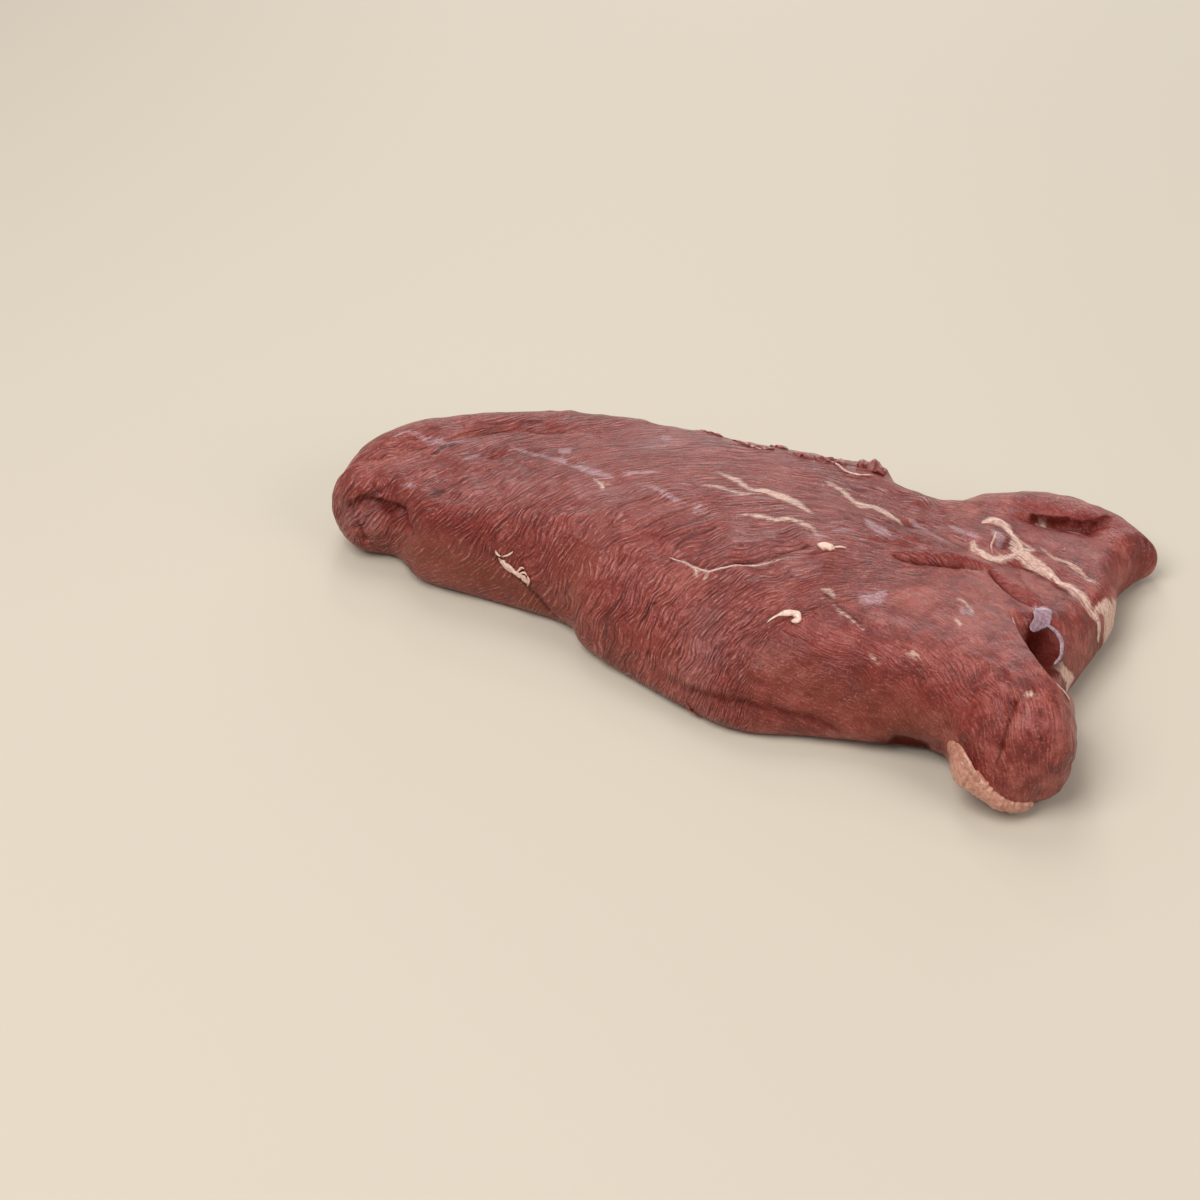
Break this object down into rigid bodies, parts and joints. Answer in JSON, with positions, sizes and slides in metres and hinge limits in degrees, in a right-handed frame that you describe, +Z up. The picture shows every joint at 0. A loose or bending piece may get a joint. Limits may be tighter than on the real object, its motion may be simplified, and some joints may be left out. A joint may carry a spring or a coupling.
{
  "type": "raw beef chuck tender",
  "caption": "Whole raw beef chuck tender, a long tapered muscle with a thick thumb lobe and a thin flat lobe at its wide end, lying on its flat side.",
  "frame": {"origin": "under the middle of the meat, on the flat face that it rests on", "axes": "+X along the muscle from the folded narrow end to the two lobes, +Y towards the far long edge, +Z up"},
  "size_m": [0.2888, 0.1508, 0.0416],
  "materials": {
    "raw_beef": "moist raw muscle, satin gloss, with cream fat seams and lavender membrane"
  },
  "bodies": {
    "root": {"chuck_tender": "raw_beef"}
  },
  "joints": []
}
